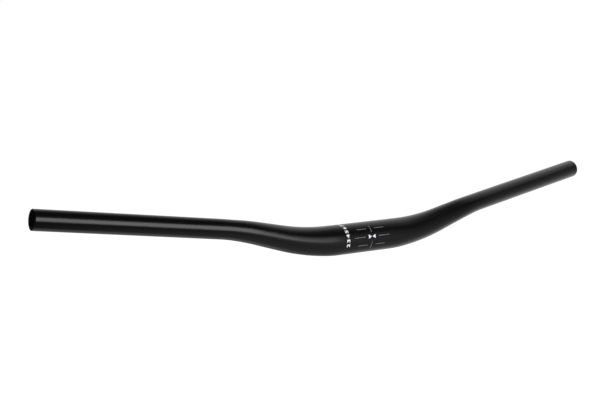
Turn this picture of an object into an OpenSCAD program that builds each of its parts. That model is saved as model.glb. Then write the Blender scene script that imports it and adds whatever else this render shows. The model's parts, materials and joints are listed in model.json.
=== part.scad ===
// Riser handlebar of a mountain bike: one drawn aluminium tube, butted, tapered and bent.
// The origin is the centre of the stem clamp section. +X runs along the clamp axis to the
// rider's left, +Y points back to the rider and +Z points up. Millimetres and degrees.

/* [Layout] */
// Overall width, between the centres of the two end faces
bar_w = 800; // [680:1:960]
// Height of the bar's centre line over the clamp axis where the grip sections start
rise = 26.3; // [21:0.1:40]
// Backward sweep of the grip sections, seen from above
back_sweep = 9; // [5:0.5:14]
// Upward sweep of the grip sections
up_sweep = 6; // [2:0.5:8]

/* [Bends] */
// Length of the straight section that the stem clamps
clamp_l = 75; // [50:1:90]
// Slope of the tube between its two bends, measured from the clamp axis
slope = 14; // [11:0.5:18]
// Lean of the slope towards the rider, measured from straight up
lean = 9.4; // [0:0.1:20]
// Centre line radius of the bend beside the clamp section, where the rise leaves room for it
inner_bend_r = 328; // [150:1:400]
// Centre line radius of the bend beside the grip section, where the rise leaves room for it
outer_bend_r = 292; // [150:1:400]

/* [Tube] */
// Outside diameter of the stem clamp section
clamp_d = 35; // [31.8:0.1:42]
// Outside diameter of the grip sections
grip_d = 22.2; // [19:0.1:27]
// Wall thickness in the clamp section
clamp_wall = 2.4; // [1.8:0.1:4]
// Wall thickness in the grip sections
grip_wall = 1.8; // [1.2:0.1:3]
// Length of even tube between the clamp section and the taper
inner_even_l = 10; // [8:0.5:20]
// Length of even tube between the taper and the grip section
outer_even_l = 16; // [8:0.5:30]
// Length over which each end of the taper is rounded off
taper_blend = 16; // [4:1:16]
// Chamfer on the outer edge of each end
end_chamfer = 0.6; // [0.2:0.1:1]

/* [Smoothness] */
// Sides of the bent stretches
sides = 48; // [24:4:56]
// Steps in the inner bend
inner_steps = 8; // [4:1:10]
// Steps in the slope between the bends
slope_steps = 3; // [1:1:5]
// Steps in the outer bend
outer_steps = 6; // [3:1:8]

/* [Hidden] */
round_sides = 96;
// Length of the straight collar at each end of a bent stretch, which the round wall enters
// halfway, and how far the collar's flats stand out from that wall
lap = 1;
seam = 0.02;
// Share of the rise that the two bends may take together
bend_share = 0.95;
colour = "#1b1b1d";

clamp_r = clamp_d / 2;
grip_r = grip_d / 2;
clamp_bore_r = clamp_r - clamp_wall;
grip_bore_r = grip_r - grip_wall;

// The centre line: straight clamp section, inner bend, slope, outer bend, straight grip section
x_dir = [1, 0, 0];
lean_dir = [0, sin(lean), cos(lean)];
slope_dir = along_arc(x_dir, lean_dir, slope);
grip_dir = [
    cos(back_sweep) * cos(up_sweep),
    sin(back_sweep) * cos(up_sweep),
    sin(up_sweep)
];
outer_bend = acos(slope_dir * grip_dir);
outer_dir = unit(grip_dir - (slope_dir * grip_dir) * slope_dir);

// Both bends are tightened alike where they would climb higher than the rise
bends_rise = arc_offset(x_dir, lean_dir, inner_bend_r, slope).z
    + arc_offset(slope_dir, outer_dir, outer_bend_r, outer_bend).z;
bend_fit = min(1, bend_share * rise / bends_rise);
inner_r = inner_bend_r * bend_fit;
outer_r = outer_bend_r * bend_fit;
inner_arc_l = inner_r * slope * PI / 180;
outer_arc_l = outer_r * outer_bend * PI / 180;
inner_chord = arc_offset(x_dir, lean_dir, inner_r, slope);
outer_chord = arc_offset(slope_dir, outer_dir, outer_r, outer_bend);

// The slope is as long as the rise needs, and the grip section as long as the width needs
slope_l = (rise - inner_chord.z - outer_chord.z) / slope_dir.z;
inner_start = [clamp_l / 2, 0, 0];
slope_start = inner_start + inner_chord;
outer_start = slope_start + slope_l * slope_dir;
grip_start = outer_start + outer_chord;
grip_l = (bar_w / 2 - grip_start.x) / grip_dir.x;

// Distances along the centre line from the middle of the bar
inner_s = clamp_l / 2;
slope_s = inner_s + inner_arc_l;
outer_s = slope_s + slope_l;
grip_s = outer_s + outer_arc_l;
taper_start = inner_s + inner_even_l;
taper_l = grip_s - outer_even_l - taper_start;

// Stations of the bent stretch, from the clamp section to the grip section
stations = concat(
    [inner_s - lap],
    [for (i = [0 : inner_steps - 1]) inner_s + inner_arc_l * i / inner_steps],
    [for (i = [0 : slope_steps - 1]) slope_s + slope_l * i / slope_steps],
    [for (i = [0 : outer_steps]) outer_s + outer_arc_l * i / outer_steps],
    [grip_s + lap]
);

function unit(v) = v / norm(v);

// Direction after turning by an angle from dir towards normal
function along_arc(dir, normal, angle) = cos(angle) * dir + sin(angle) * normal;

// Offset from the start of an arc to the point where it has turned by an angle
function arc_offset(dir, normal, radius, angle) =
    radius * (sin(angle) * dir + (1 - cos(angle)) * normal);

// Angle that an arc of a given radius turns over a length
function turned(length, radius) = length / radius * 180 / PI;

// Point of the centre line at distance s from the middle
function centre_at(s) =
    s < inner_s ? [s, 0, 0]
    : s < slope_s ? inner_start
        + arc_offset(x_dir, lean_dir, inner_r, turned(s - inner_s, inner_r))
    : s < outer_s ? slope_start + (s - slope_s) * slope_dir
    : s < grip_s ? outer_start
        + arc_offset(slope_dir, outer_dir, outer_r, turned(s - outer_s, outer_r))
    : grip_start + (s - grip_s) * grip_dir;

// Direction of the centre line at distance s from the middle
function direction_at(s) =
    s < inner_s ? x_dir
    : s < slope_s ? along_arc(x_dir, lean_dir, turned(s - inner_s, inner_r))
    : s < outer_s ? slope_dir
    : s < grip_s ? along_arc(slope_dir, outer_dir, turned(s - outer_s, outer_r))
    : grip_dir;

// Area under a line that rises from 0 to 1 and then stays at 1
function ramp_area(t) = t <= 0 ? 0 : t >= 1 ? t - 0.5 : t * t / 2;

// Share of the taper that is done at distance s: a straight cone with its two ends rounded off
function taper_at(s) =
    (ramp_area((s + taper_blend / 2 - taper_start) / taper_l)
        - ramp_area((s - taper_blend / 2 - taper_start) / taper_l))
    * taper_l / taper_blend;

function between(a, b, share) = a + (b - a) * share;

// One ring of points around the centre line at distance s, with its flats just outside the radius
function ring_at(s, radius) =
    let (
        corner_r = (radius + seam) / cos(180 / sides),
        along = direction_at(s),
        across = unit(cross([0, 0, 1], along)),
        up = cross(along, across)
    )
    [for (i = [0 : sides - 1])
        centre_at(s) + corner_r * (cos(360 * i / sides) * across + sin(360 * i / sides) * up)];

// Tube wall along the bends, with the outside and the bore tapering together
module bent_stretch() {
    rings = len(stations);
    outside = [for (s = stations)
        each ring_at(s, between(clamp_r, grip_r, taper_at(s)))];
    bore = [for (s = stations)
        each ring_at(s, between(clamp_bore_r, grip_bore_r, taper_at(s)))];
    inner = rings * sides;
    last = (rings - 1) * sides;
    faces = [for (i = [0 : sides - 1])
        let (n = (i + 1) % sides)
        each concat(
            [[i, n, inner + n, inner + i]],
            [for (k = [0 : rings - 2])
                let (a = k * sides, b = a + sides)
                each [
                    [a + i, b + i, b + n, a + n],
                    [inner + a + n, inner + b + n, inner + b + i, inner + a + i]
                ]],
            [[last + i, inner + last + i, inner + last + n, last + n]]
        )
    ];
    polyhedron(points = concat(outside, bore), faces = faces, convexity = 4);
}

// Straight tube wall in the middle, where the stem clamps
module clamp_section() {
    rotate([0, 90, 0])
        difference() {
            cylinder(h = clamp_l - lap, r = clamp_r, center = true, $fn = round_sides);
            cylinder(h = clamp_l, r = clamp_bore_r, center = true, $fn = round_sides);
        }
}

// Straight tube wall that takes the grip and the lever clamps, with its open end chamfered
module grip_section() {
    translate(grip_start)
        rotate([0, 90 - up_sweep, back_sweep])
            rotate_extrude($fn = round_sides)
                polygon([
                    [grip_bore_r, lap / 2],
                    [grip_r, lap / 2],
                    [grip_r, grip_l - end_chamfer],
                    [grip_r - end_chamfer, grip_l],
                    [grip_bore_r, grip_l]
                ]);
}

module half_bar() {
    bent_stretch();
    grip_section();
}

module handlebar() {
    color(colour)
        union() {
            clamp_section();
            half_bar();
            mirror([1, 0, 0])
                half_bar();
        }
}

handlebar();
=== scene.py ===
import bpy
import bmesh
import json
import math
from mathutils import Matrix, Vector


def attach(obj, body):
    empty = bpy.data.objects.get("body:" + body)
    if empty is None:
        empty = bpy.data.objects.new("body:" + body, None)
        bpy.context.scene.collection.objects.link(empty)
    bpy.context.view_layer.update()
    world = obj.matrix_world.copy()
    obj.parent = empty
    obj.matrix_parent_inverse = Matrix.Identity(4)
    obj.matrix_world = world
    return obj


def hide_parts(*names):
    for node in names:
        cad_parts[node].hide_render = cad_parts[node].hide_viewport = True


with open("model.json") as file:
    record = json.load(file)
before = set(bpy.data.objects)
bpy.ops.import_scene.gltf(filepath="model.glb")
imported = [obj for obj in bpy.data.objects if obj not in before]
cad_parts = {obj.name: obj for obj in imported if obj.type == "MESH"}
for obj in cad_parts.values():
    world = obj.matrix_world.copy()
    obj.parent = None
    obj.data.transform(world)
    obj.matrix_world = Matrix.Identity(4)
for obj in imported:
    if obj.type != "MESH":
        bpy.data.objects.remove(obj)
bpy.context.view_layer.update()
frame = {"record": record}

mm = 0.001
samePoint = 0.001 * mm  # points nearer than this are one
mounts = {mount["name"]: mount for mount in frame["record"]["mounts"]}


def mountRadius(name):
    return mounts[name]["dims"]["r_mm"] * mm


# Camera: in front of the bar and to its rider's right, a little above

cameraSettings = {
    "azimuth": 38.41,
    "elevation": 11.272,
    "roll": 3.184,
    "distance": 1.53743,
    "lens": 79.85,
    "sensor": 36,
    "imageWidth": 600,
    "imageHeight": 400,
    "clampPixelX": 362.455,  # where the middle of the bar shows in the image
    "clampPixelY": 236.871,
    "nearest": 0.05,
    "farthest": 60,
}


def makeCamera(settings):
    azimuth = math.radians(settings["azimuth"])
    elevation = math.radians(settings["elevation"])
    look = Vector((
        math.sin(azimuth) * math.cos(elevation),
        math.cos(azimuth) * math.cos(elevation),
        -math.sin(elevation),
    ))
    roll = Matrix.Rotation(math.radians(settings["roll"]), 3, "Z").to_quaternion()
    turn = look.to_track_quat("-Z", "Y") @ roll
    right = turn @ Vector((1, 0, 0))
    up = turn @ Vector((0, 1, 0))
    pixel = settings["distance"] * settings["sensor"] / settings["lens"] / settings["imageWidth"]
    across = (settings["clampPixelX"] - settings["imageWidth"] / 2) * pixel
    above = (settings["imageHeight"] / 2 - settings["clampPixelY"]) * pixel
    data = bpy.data.cameras.new("camera")
    data.lens = settings["lens"]
    data.sensor_width = settings["sensor"]
    data.clip_start = settings["nearest"]
    data.clip_end = settings["farthest"]
    camera = bpy.data.objects.new("camera", data)
    camera.rotation_mode = "QUATERNION"
    camera.rotation_quaternion = turn
    camera.location = -(look * settings["distance"] + right * across + up * above)
    bpy.context.scene.collection.objects.link(camera)
    bpy.context.scene.camera = camera


makeCamera(cameraSettings)
print("camera set")


# Shader helpers

def newGroup(name, inputs, outputs):
    group = bpy.data.node_groups.new(name, "ShaderNodeTree")
    for socketName, kind, value in inputs:
        socket = group.interface.new_socket(socketName, in_out="INPUT", socket_type=kind)
        if value is not None:
            socket.default_value = value
    for socketName, kind in outputs:
        group.interface.new_socket(socketName, in_out="OUTPUT", socket_type=kind)
    return group, group.nodes.new("NodeGroupInput"), group.nodes.new("NodeGroupOutput")


def placeGroup(tree, group, values, coordinates):
    node = tree.nodes.new("ShaderNodeGroup")
    node.node_tree = group
    for name, value in values.items():
        node.inputs[name].default_value = value
    tree.links.new(coordinates, node.inputs["Vector"])
    return node


def mathNode(tree, operation, first, second):
    node = tree.nodes.new("ShaderNodeMath")
    node.operation = operation
    for socket, value in zip(node.inputs, (first, second)):
        if isinstance(value, (int, float)):
            socket.default_value = value
        else:
            tree.links.new(value, socket)
    return node.outputs["Value"]


# Satin grain: the fine pits of a blasted surface under its black, and slow drifts along the tube

grainSettings = {
    "grainDetail": 2,
    "driftDetail": 3,
    "coolness": 1.06,  # how much stronger blue is in the black
    "pitDepth": 0.02 * mm,
}


def makeGrainGroup(settings):
    group, start, end = newGroup(
        "satinGrain",
        [
            ("Vector", "NodeSocketVector", None),
            ("Grain Scale", "NodeSocketFloat", 2600.0),
            ("Drift Scale", "NodeSocketFloat", 14.0),
            ("Tone", "NodeSocketFloat", 0.02),
            ("Tone Spread", "NodeSocketFloat", 0.1),
            ("Roughness", "NodeSocketFloat", 0.35),
            ("Roughness Spread", "NodeSocketFloat", 0.05),
            ("Relief", "NodeSocketFloat", 0.1),
        ],
        [
            ("Color", "NodeSocketColor"),
            ("Roughness", "NodeSocketFloat"),
            ("Normal", "NodeSocketVector"),
        ],
    )
    links = group.links
    grain = group.nodes.new("ShaderNodeTexNoise")
    grain.inputs["Detail"].default_value = settings["grainDetail"]
    links.new(start.outputs["Vector"], grain.inputs["Vector"])
    links.new(start.outputs["Grain Scale"], grain.inputs["Scale"])
    drift = group.nodes.new("ShaderNodeTexNoise")
    drift.inputs["Detail"].default_value = settings["driftDetail"]
    links.new(start.outputs["Vector"], drift.inputs["Vector"])
    links.new(start.outputs["Drift Scale"], drift.inputs["Scale"])

    slow = mathNode(group, "SUBTRACT", drift.outputs["Fac"], 0.5)
    fine = mathNode(group, "SUBTRACT", grain.outputs["Fac"], 0.5)
    both = mathNode(group, "ADD", slow, fine)
    spotted = mathNode(group, "MULTIPLY", both, start.outputs["Tone Spread"])
    tone = mathNode(group, "MULTIPLY", start.outputs["Tone"], mathNode(group, "ADD", 1.0, spotted))
    colour = group.nodes.new("ShaderNodeCombineColor")
    for channel in ("Red", "Green"):
        links.new(tone, colour.inputs[channel])
    links.new(mathNode(group, "MULTIPLY", tone, settings["coolness"]), colour.inputs["Blue"])
    links.new(colour.outputs["Color"], end.inputs["Color"])

    uneven = mathNode(group, "MULTIPLY", both, start.outputs["Roughness Spread"])
    links.new(mathNode(group, "ADD", start.outputs["Roughness"], uneven), end.inputs["Roughness"])

    bump = group.nodes.new("ShaderNodeBump")
    bump.inputs["Distance"].default_value = settings["pitDepth"]
    links.new(start.outputs["Relief"], bump.inputs["Strength"])
    links.new(grain.outputs["Fac"], bump.inputs["Height"])
    links.new(bump.outputs["Normal"], end.inputs["Normal"])
    return group


satinGrain = makeGrainGroup(grainSettings)

finishes = {
    "satinBlack": {
        "ior": 1.5, "gloss": 0.5,
        "grain": {
            "Tone": 0.003, "Tone Spread": 0.25,
            "Roughness": 0.24, "Roughness Spread": 0.05, "Relief": 0.12,
        },
    },
    "boreBlack": {
        "ior": 1.45, "gloss": 0.5,
        "grain": {
            "Tone": 0.006, "Tone Spread": 0.4,
            "Roughness": 0.45, "Roughness Spread": 0.1, "Relief": 0.2,
        },
    },
    "greyInk": {
        "ior": 1.45, "gloss": 0.5,
        "grain": {
            "Tone": 0.3, "Tone Spread": 0.1,
            "Roughness": 0.5, "Roughness Spread": 0.05, "Relief": 0.1,
        },
    },
    "whiteInk": {
        "ior": 1.45, "gloss": 0.5,
        "grain": {
            "Tone": 0.9, "Tone Spread": 0.05,
            "Roughness": 0.5, "Roughness Spread": 0.05, "Relief": 0.1,
        },
    },
}


def makeFinish(name, settings):
    material = bpy.data.materials.new(name)
    material.use_nodes = True
    tree = material.node_tree
    shader = tree.nodes["Principled BSDF"]
    place = tree.nodes.new("ShaderNodeTexCoord")
    grain = placeGroup(tree, satinGrain, settings["grain"], place.outputs["Object"])
    tree.links.new(grain.outputs["Color"], shader.inputs["Base Color"])
    tree.links.new(grain.outputs["Roughness"], shader.inputs["Roughness"])
    tree.links.new(grain.outputs["Normal"], shader.inputs["Normal"])
    shader.inputs["IOR"].default_value = settings["ior"]
    shader.inputs["Specular IOR Level"].default_value = settings["gloss"]
    return material


materials = {name: makeFinish(name, settings) for name, settings in finishes.items()}
print("finishes made")


# Bar: one tube, straight in the middle and at the grips, bent and tapered in between

barSettings = {
    "width": 800 * mm,
    "clampLength": 75 * mm,
    "clampWall": 2.4 * mm,
    "slope": 14,
    "lean": 9.4,
    "innerBendRadius": 328 * mm,
    "outerBendRadius": 292 * mm,
    "evenAfterClamp": 10 * mm,
    "evenBeforeGrip": 16 * mm,
    "taperBlend": 16 * mm,
    "endChamfer": 0.6 * mm,
    "endChamferSteps": 2,
    "boreBreak": 0.25 * mm,
    "boreBreakSteps": 1,
    "sharpAngle": 25,
    "sides": 96,
    "step": 4 * mm,
    "gripStep": 12 * mm,
    "endStep": 1 * mm,  # keeps the rounding of the end off the even tube
    "halvesMerge": 0.01 * mm,
}


def arc(direction, normal, radius, angle):
    return direction * (radius * math.sin(angle)) + normal * (radius * (1 - math.cos(angle)))


def turned(direction, normal, angle):
    return direction * math.cos(angle) + normal * math.sin(angle)


# The path of the tube's middle on the rider's left half, by its length from the bar's middle
def centreLine(settings):
    ahead = Vector((1, 0, 0))
    lean = math.radians(settings["lean"])
    leanDirection = Vector((0, math.sin(lean), math.cos(lean)))
    slope = math.radians(settings["slope"])
    slopeDirection = turned(ahead, leanDirection, slope)
    gripDirection = Vector(mounts["grip_left"]["axis"]).normalized()
    gripMiddle = Vector(mounts["grip_left"]["pos_m"])
    bend = slopeDirection.angle(gripDirection)
    bendNormal = (gripDirection - slopeDirection * gripDirection.dot(slopeDirection)).normalized()
    innerRadius = settings["innerBendRadius"]
    outerRadius = settings["outerBendRadius"]

    halfGrip = (settings["width"] / 2 - gripMiddle.x) / gripDirection.x
    clampPoint = ahead * settings["clampLength"] / 2
    slopePoint = clampPoint + arc(ahead, leanDirection, innerRadius, slope)
    gripPoint = gripMiddle - gripDirection * halfGrip
    bendPoint = gripPoint - arc(slopeDirection, bendNormal, outerRadius, bend)

    stops = {"clamp": settings["clampLength"] / 2}
    stops["slope"] = stops["clamp"] + innerRadius * slope
    stops["bend"] = stops["slope"] + (bendPoint - slopePoint).length
    stops["grip"] = stops["bend"] + outerRadius * bend
    stops["end"] = stops["grip"] + 2 * halfGrip

    def at(s):
        if s <= stops["clamp"]:
            return ahead * s, ahead
        if s <= stops["slope"]:
            angle = (s - stops["clamp"]) / innerRadius
            point = clampPoint + arc(ahead, leanDirection, innerRadius, angle)
            return point, turned(ahead, leanDirection, angle)
        if s <= stops["bend"]:
            return slopePoint + slopeDirection * (s - stops["slope"]), slopeDirection
        if s <= stops["grip"]:
            angle = (s - stops["bend"]) / outerRadius
            point = bendPoint + arc(slopeDirection, bendNormal, outerRadius, angle)
            return point, turned(slopeDirection, bendNormal, angle)
        return gripPoint + gripDirection * (s - stops["grip"]), gripDirection

    return at, stops


def rampArea(t):
    if t <= 0:
        return 0
    return t - 0.5 if t >= 1 else t * t / 2


# How much of the taper is done: a straight cone with its two ends rounded off
def taperShare(s, stops, settings):
    start = stops["clamp"] + settings["evenAfterClamp"]
    length = stops["grip"] - settings["evenBeforeGrip"] - start
    blend = settings["taperBlend"]
    early = rampArea((s + blend / 2 - start) / length)
    late = rampArea((s - blend / 2 - start) / length)
    return (early - late) * length / blend


# The matrix that puts a unit circle round the centre line
def ringPlace(at, s, radius):
    point, along = at(s)
    across = Vector((0, 0, 1)).cross(along).normalized()
    up = along.cross(across)
    turn = Matrix((across, up, along)).transposed().to_4x4()
    return Matrix.Translation(point) @ turn @ Matrix.Diagonal((radius, radius, 1, 1))


# A wall drawn ring by ring through places of length and radius, which gives each ring's edges
def sweepTube(bm, at, places, sides):
    ring = bmesh.ops.create_circle(bm, segments=sides, radius=1)["verts"]
    before = ringPlace(at, *places[0])
    bmesh.ops.transform(bm, matrix=before, verts=ring)
    loops = [list({edge for vert in ring for edge in vert.link_edges})]
    for place in places[1:]:
        after = ringPlace(at, *place)
        made = bmesh.ops.extrude_edge_only(bm, edges=loops[-1])["geom"]
        ring = {item for item in made if isinstance(item, bmesh.types.BMVert)}
        loops.append([
            item for item in made
            if isinstance(item, bmesh.types.BMEdge) and all(vert in ring for vert in item.verts)
        ])
        bmesh.ops.transform(bm, matrix=after @ before.inverted(), verts=list(ring))
        before = after
    return loops


def spread(start, end, step):
    count = max(1, round((end - start) / step))
    return [start + (end - start) * i / count for i in range(count)]


def finishMesh(bm, name, slots, sharpAngle=None):
    bmesh.ops.remove_doubles(bm, verts=bm.verts, dist=samePoint)
    bmesh.ops.recalc_face_normals(bm, faces=bm.faces)
    mesh = bpy.data.meshes.new(name)
    bm.to_mesh(mesh)
    bm.free()
    for slotName in slots:
        mesh.materials.append(materials[slotName])
    if sharpAngle is not None:
        mesh.shade_smooth()
        mesh.set_sharp_from_angle(angle=math.radians(sharpAngle))
    piece = bpy.data.objects.new(name, mesh)
    bpy.context.scene.collection.objects.link(piece)
    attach(piece, "root")
    return piece


def makeBar(settings):
    at, stops = centreLine(settings)
    clampRadius = mountRadius("stem_clamp")
    gripRadius = mountRadius("grip_left")
    clampBore = clampRadius - settings["clampWall"]
    gripBore = mountRadius("plug_left")

    def outside(s):
        return clampRadius + (gripRadius - clampRadius) * taperShare(s, stops, settings)

    def inside(s):
        return clampBore + (gripBore - clampBore) * taperShare(s, stops, settings)

    stations = (
        spread(0, stops["clamp"], settings["step"])
        + spread(stops["clamp"], stops["slope"], settings["step"])
        + spread(stops["slope"], stops["bend"], settings["step"])
        + spread(stops["bend"], stops["grip"], settings["step"])
        + spread(stops["grip"], stops["end"] - settings["endStep"], settings["gripStep"])
        + [stops["end"] - settings["endStep"], stops["end"]]
    )
    places = [(s, outside(s)) for s in stations] + [(s, inside(s)) for s in reversed(stations)]
    bm = bmesh.new()
    loops = sweepTube(bm, at, places, settings["sides"])
    outerRim, boreRim = loops[len(stations) - 1], loops[len(stations)]
    bm.faces.ensure_lookup_table()
    for face in bm.faces[len(stations) * settings["sides"]:]:  # past the outside and the end
        face.material_index = 1
    for rim, edge in ((outerRim, "endChamfer"), (boreRim, "boreBreak")):
        bmesh.ops.bevel(
            bm, geom=rim, offset=settings[edge], offset_type="OFFSET", affect="EDGES",
            segments=settings[edge + "Steps"], profile=0.5, material=-1)
    bmesh.ops.mirror(
        bm, geom=bm.verts[:] + bm.edges[:] + bm.faces[:], axis="X",
        merge_dist=settings["halvesMerge"])
    bar = finishMesh(bm, "barTube", ["satinBlack", "boreBlack"], settings["sharpAngle"])
    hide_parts("handlebar")


makeBar(barSettings)
print("bar made")


# Prints on the clamp section: thin ink, laid on the tube's surface

printSettings = {
    "ink": 0.03 * mm,
    "sunk": 0.015 * mm,
    "cutStep": 0.5 * mm,
    "cutSnap": 0.0001 * mm,
    "middleAngle": 14.4,  # where the marks are centred, above straight ahead
}


# Bends a flat print, drawn in X and Y, round the clamp section, and gives it its thickness
def layOnClamp(bm, arcMiddle, xMiddle=0.0):
    radius = mountRadius("stem_clamp")
    heights = [vert.co.y for vert in bm.verts]
    low, high = min(heights), max(heights)
    cuts = int((high - low) / printSettings["cutStep"])
    for i in range(1, cuts + 1):
        level = low + (high - low) * i / (cuts + 1)
        bmesh.ops.bisect_plane(
            bm, geom=bm.verts[:] + bm.edges[:] + bm.faces[:], dist=printSettings["cutSnap"],
            plane_co=(0, level, 0), plane_no=(0, 1, 0))
    raised = bmesh.ops.extrude_face_region(bm, geom=bm.faces[:])["geom"]
    top = [item for item in raised if isinstance(item, bmesh.types.BMVert)]
    bmesh.ops.translate(bm, verts=top, vec=(0, 0, printSettings["ink"] + printSettings["sunk"]))
    for vert in bm.verts:
        angle = (vert.co.y + arcMiddle) / radius
        height = radius + vert.co.z - printSettings["sunk"]
        vert.co = Vector((vert.co.x + xMiddle, -height * math.cos(angle), height * math.sin(angle)))


def rectangle(bm, width, height, x, y):
    made = bmesh.ops.create_grid(bm, x_segments=1, y_segments=1, size=0.5)["verts"]
    bmesh.ops.scale(bm, verts=made, vec=(width, height, 1))
    bmesh.ops.translate(bm, verts=made, vec=(x, y, 0))


alignmentSettings = {
    "stroke": 0.42 * mm,
    "rowAngle": 32,
    "middleRow": (10 * mm, 26 * mm),  # from the centre line to either side
    "otherRows": (6 * mm, 20 * mm),
    "centreAngles": (17, 48.5),
}


def makeAlignmentMarks(settings):
    radius = mountRadius("stem_clamp")
    stroke = settings["stroke"]
    bm = bmesh.new()
    for row in (-1, 0, 1):
        near, far = settings["middleRow"] if row == 0 else settings["otherRows"]
        y = row * math.radians(settings["rowAngle"]) * radius
        for side in (-1, 1):
            rectangle(bm, far - near, stroke, side * (near + far) / 2, y)
    near, far = (math.radians(angle) * radius for angle in settings["centreAngles"])
    for side in (-1, 1):
        rectangle(bm, stroke, far - near, 0, side * (near + far) / 2)
    layOnClamp(bm, math.radians(printSettings["middleAngle"]) * radius)
    finishMesh(bm, "alignmentMarks", ["greyInk"])


centreMarkSettings = {
    "width": 10 * mm,
    "height": 4.8 * mm,
    "gap": 1.2 * mm,
}


# Two triangles that point at the middle of the bar
def makeCentreMark(settings):
    bm = bmesh.new()
    length = (settings["width"] - settings["gap"]) / 2
    for side in (-1, 1):
        made = bmesh.ops.create_circle(bm, cap_ends=True, segments=3, radius=1)["verts"]
        bmesh.ops.rotate(bm, verts=made, matrix=Matrix.Rotation(math.radians(90 * side), 3, "Z"))
        bmesh.ops.translate(bm, verts=made, vec=(side, 0, 0))  # its tip in the middle
        size = (length / 1.5, settings["height"] / math.sqrt(3), 1)  # it is 1.5 by root 3
        bmesh.ops.scale(bm, verts=made, vec=size)
        bmesh.ops.translate(bm, verts=made, vec=(side * settings["gap"] / 2, 0, 0))
    layOnClamp(bm, math.radians(printSettings["middleAngle"]) * mountRadius("stem_clamp"))
    finishMesh(bm, "centreMark", ["whiteInk"])


rollScaleSettings = {
    "digits": "2345678",
    "height": 4.6 * mm,
    "stretch": 1.4,
    "pitch": 5.5 * mm,
    "x": -35.2 * mm,
    "startArc": -5.9 * mm,
    "weight": 0.036,
    "curveSteps": 4,
    "digitMerge": 0.002 * mm,
}


def digitMesh(digit, settings):
    curve = bpy.data.curves.new("digit", "FONT")
    curve.body = digit
    curve.offset = settings["weight"]
    curve.resolution_u = settings["curveSteps"]
    text = bpy.data.objects.new("digit", curve)
    bpy.context.scene.collection.objects.link(text)
    bpy.context.view_layer.update()
    filled = text.evaluated_get(bpy.context.evaluated_depsgraph_get())
    mesh = bpy.data.meshes.new_from_object(filled)
    bpy.data.objects.remove(text)
    return mesh


# Plain numbers round the tube, with their heads away from the middle
def makeRollScale(settings):
    whole = bmesh.new()
    for i, digit in enumerate(settings["digits"]):
        flat = digitMesh(digit, settings)
        lows = [min(vert.co[k] for vert in flat.vertices) for k in (0, 1)]
        highs = [max(vert.co[k] for vert in flat.vertices) for k in (0, 1)]
        tall = settings["height"] / (highs[1] - lows[1])
        wide = tall * settings["stretch"]
        middle = Vector(((lows[0] + highs[0]) / 2, (lows[1] + highs[1]) / 2, 0))
        flat.transform(
            Matrix.Translation((0, settings["pitch"] * (i + 0.5), 0))
            @ Matrix.Rotation(math.radians(90), 4, "Z")
            @ Matrix.Diagonal((wide, tall, 1, 1))
            @ Matrix.Translation(-middle))
        whole.from_mesh(flat)
        bpy.data.meshes.remove(flat)
    bmesh.ops.remove_doubles(whole, verts=whole.verts, dist=settings["digitMerge"])
    layOnClamp(whole, settings["startArc"], settings["x"])
    finishMesh(whole, "rollScale", ["whiteInk"])


makeAlignmentMarks(alignmentSettings)
makeCentreMark(centreMarkSettings)
makeRollScale(rollScaleSettings)
print("prints made")


# Studio: a pale floor well below the bar, which hangs in its clamp, a white backdrop that wraps
# round its rider's left, and softboxes. Azimuth 0 is the bar's front, 90 the rider's left.

studioSettings = {
    "floorDrop": 0.5,
    "floorRadius": 12,
    "floorSides": 96,
    "floorTone": 0.8,
    "floorWhite": 1.2,
    "floorWhiteShare": 0.8,  # the rest of the floor's tone is lit, and holds the shadow
    "white": 1.02,
    "fill": 0.45,
}

# What gloss sees of the room: white patches, full up to one angle from their middle, none past
# the other
roomPatches = {
    "backdrop": {"azimuth": 122, "elevation": 0, "full": 15, "edge": 62, "level": 0.92},
    "floorAhead": {"azimuth": 48, "elevation": -60, "full": 25, "edge": 60, "level": 0.28},
    "floorBehind": {"azimuth": 215, "elevation": -52, "full": 22, "edge": 46, "level": 0.55},
    "rightWall": {"azimuth": 272, "elevation": 5, "full": 15, "edge": 48, "level": 0.6},
    "keyEdge": {"azimuth": 31, "elevation": -8, "full": 3, "edge": 18, "level": 0.3},
    "frontGlow": {"azimuth": 60, "elevation": -2, "full": 8, "edge": 28, "level": 0.13},
}

softboxes = {
    "key": {
        "azimuth": 7.8, "elevation": 18.3, "distance": 1.42,
        "width": 1.24, "height": 0.91, "level": 3.2,
    },
    "side": {
        "azimuth": 93, "elevation": 36, "distance": 1.1,
        "width": 0.7, "height": 0.5, "level": 0.22,
    },
    "rear": {
        "azimuth": 205, "elevation": 48, "distance": 1.7,
        "width": 1.6, "height": 0.7, "level": 2.2,
    },
    "right": {
        "azimuth": 285, "elevation": 25, "distance": 1.8,
        "width": 0.8, "height": 0.7, "level": 1.5,
    },
}


def directionTo(azimuth, elevation):
    azimuth = math.radians(azimuth)
    elevation = math.radians(elevation)
    return Vector((
        math.sin(azimuth) * math.cos(elevation),
        -math.cos(azimuth) * math.cos(elevation),
        math.sin(elevation),
    ))


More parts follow.
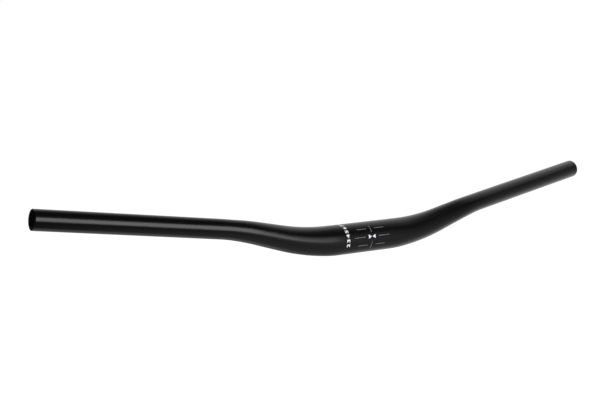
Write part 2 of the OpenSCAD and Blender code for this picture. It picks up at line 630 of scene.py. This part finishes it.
def makePatchGroup():
    group, start, end = newGroup(
        "roomPatch",
        [
            ("Vector", "NodeSocketVector", None),
            ("Middle", "NodeSocketVector", None),
            ("Edge Cosine", "NodeSocketFloat", 0.0),
            ("Full Cosine", "NodeSocketFloat", 1.0),
            ("Level", "NodeSocketFloat", 1.0),
        ],
        [("Level", "NodeSocketFloat")],
    )
    unit = group.nodes.new("ShaderNodeVectorMath")
    unit.operation = "NORMALIZE"
    group.links.new(start.outputs["Vector"], unit.inputs[0])
    near = group.nodes.new("ShaderNodeVectorMath")
    near.operation = "DOT_PRODUCT"
    group.links.new(unit.outputs["Vector"], near.inputs[0])
    group.links.new(start.outputs["Middle"], near.inputs[1])
    fade = group.nodes.new("ShaderNodeMapRange")
    fade.interpolation_type = "SMOOTHSTEP"
    group.links.new(near.outputs["Value"], fade.inputs["Value"])
    group.links.new(start.outputs["Edge Cosine"], fade.inputs["From Min"])
    group.links.new(start.outputs["Full Cosine"], fade.inputs["From Max"])
    level = mathNode(group, "MULTIPLY", fade.outputs["Result"], start.outputs["Level"])
    group.links.new(level, end.inputs["Level"])
    return group


roomPatch = makePatchGroup()


# The camera share, the gloss share, and how bright gloss sees this direction
def roomShares(tree, coordinates):
    path = tree.nodes.new("ShaderNodeLightPath")
    gloss = mathNode(
        tree, "MAXIMUM", path.outputs["Is Glossy Ray"], path.outputs["Is Transmission Ray"])
    total = 0.0
    for patch in roomPatches.values():
        values = {
            "Middle": directionTo(patch["azimuth"], patch["elevation"]),
            "Edge Cosine": math.cos(math.radians(patch["edge"])),
            "Full Cosine": math.cos(math.radians(patch["full"])),
            "Level": patch["level"],
        }
        level = placeGroup(tree, roomPatch, values, coordinates).outputs["Level"]
        total = mathNode(tree, "ADD", total, level)
    return path.outputs["Is Camera Ray"], gloss, mathNode(tree, "MULTIPLY", gloss, total)


def makeFloor(settings):
    bm = bmesh.new()
    bmesh.ops.create_circle(
        bm, cap_ends=True, segments=settings["floorSides"], radius=settings["floorRadius"])
    bmesh.ops.translate(bm, verts=bm.verts, vec=(0, 0, -settings["floorDrop"]))
    mesh = bpy.data.meshes.new("floor")
    bm.to_mesh(mesh)
    bm.free()
    floor = bpy.data.objects.new("floor", mesh)
    bpy.context.scene.collection.objects.link(floor)
    material = bpy.data.materials.new("paleFloor")
    material.use_nodes = True
    tree = material.node_tree
    tree.nodes.clear()
    out = tree.nodes.new("ShaderNodeOutputMaterial")
    matt = tree.nodes.new("ShaderNodeBsdfDiffuse")
    matt.inputs["Color"].default_value = [settings["floorTone"]] * 3 + [1]
    glow = tree.nodes.new("ShaderNodeEmission")
    through = tree.nodes.new("ShaderNodeBsdfTransparent")
    place = tree.nodes.new("ShaderNodeTexCoord")
    side = tree.nodes.new("ShaderNodeNewGeometry")
    camera, gloss, mirrored = roomShares(tree, place.outputs["Object"])
    seen = mathNode(tree, "MULTIPLY", camera, settings["floorWhite"])
    tree.links.new(mathNode(tree, "ADD", seen, mirrored), glow.inputs["Strength"])
    shown = mathNode(tree, "MULTIPLY", camera, settings["floorWhiteShare"])
    lit = tree.nodes.new("ShaderNodeMixShader")
    tree.links.new(mathNode(tree, "MAXIMUM", shown, gloss), lit.inputs[0])
    tree.links.new(matt.outputs[0], lit.inputs[1])
    tree.links.new(glow.outputs[0], lit.inputs[2])
    both = tree.nodes.new("ShaderNodeMixShader")  # clear from below
    tree.links.new(side.outputs["Backfacing"], both.inputs[0])
    tree.links.new(lit.outputs[0], both.inputs[1])
    tree.links.new(through.outputs[0], both.inputs[2])
    tree.links.new(both.outputs[0], out.inputs["Surface"])
    mesh.materials.append(material)


def makeWorld(settings):
    world = bpy.data.worlds.new("studio")
    world.use_nodes = True
    tree = world.node_tree
    background = tree.nodes["Background"]
    background.inputs["Color"].default_value = (1, 1, 1, 1)
    place = tree.nodes.new("ShaderNodeTexCoord")
    camera, gloss, mirrored = roomShares(tree, place.outputs["Generated"])
    seen = mathNode(tree, "MULTIPLY", camera, settings["white"])
    other = mathNode(tree, "SUBTRACT", mathNode(tree, "SUBTRACT", 1.0, camera), gloss)
    fill = mathNode(tree, "MULTIPLY", other, settings["fill"])
    level = mathNode(tree, "ADD", seen, mathNode(tree, "ADD", mirrored, fill))
    tree.links.new(level, background.inputs["Strength"])
    bpy.context.scene.world = world


# An area light, whose level is the brightness of its face
def makeSoftbox(name, settings):
    away = directionTo(settings["azimuth"], settings["elevation"])
    data = bpy.data.lights.new(name, "AREA")
    data.shape = "RECTANGLE"
    data.size = settings["width"]
    data.size_y = settings["height"]
    data.energy = settings["level"] * math.pi * settings["width"] * settings["height"]
    light = bpy.data.objects.new(name, data)
    light.location = away * settings["distance"]
    light.rotation_mode = "QUATERNION"
    light.rotation_quaternion = (-away).to_track_quat("-Z", "Y")
    light.visible_camera = False
    bpy.context.scene.collection.objects.link(light)


makeFloor(studioSettings)
makeWorld(studioSettings)
for name, settings in softboxes.items():
    makeSoftbox(name, settings)
bpy.context.scene.view_settings.view_transform = "Standard"
print("studio made")
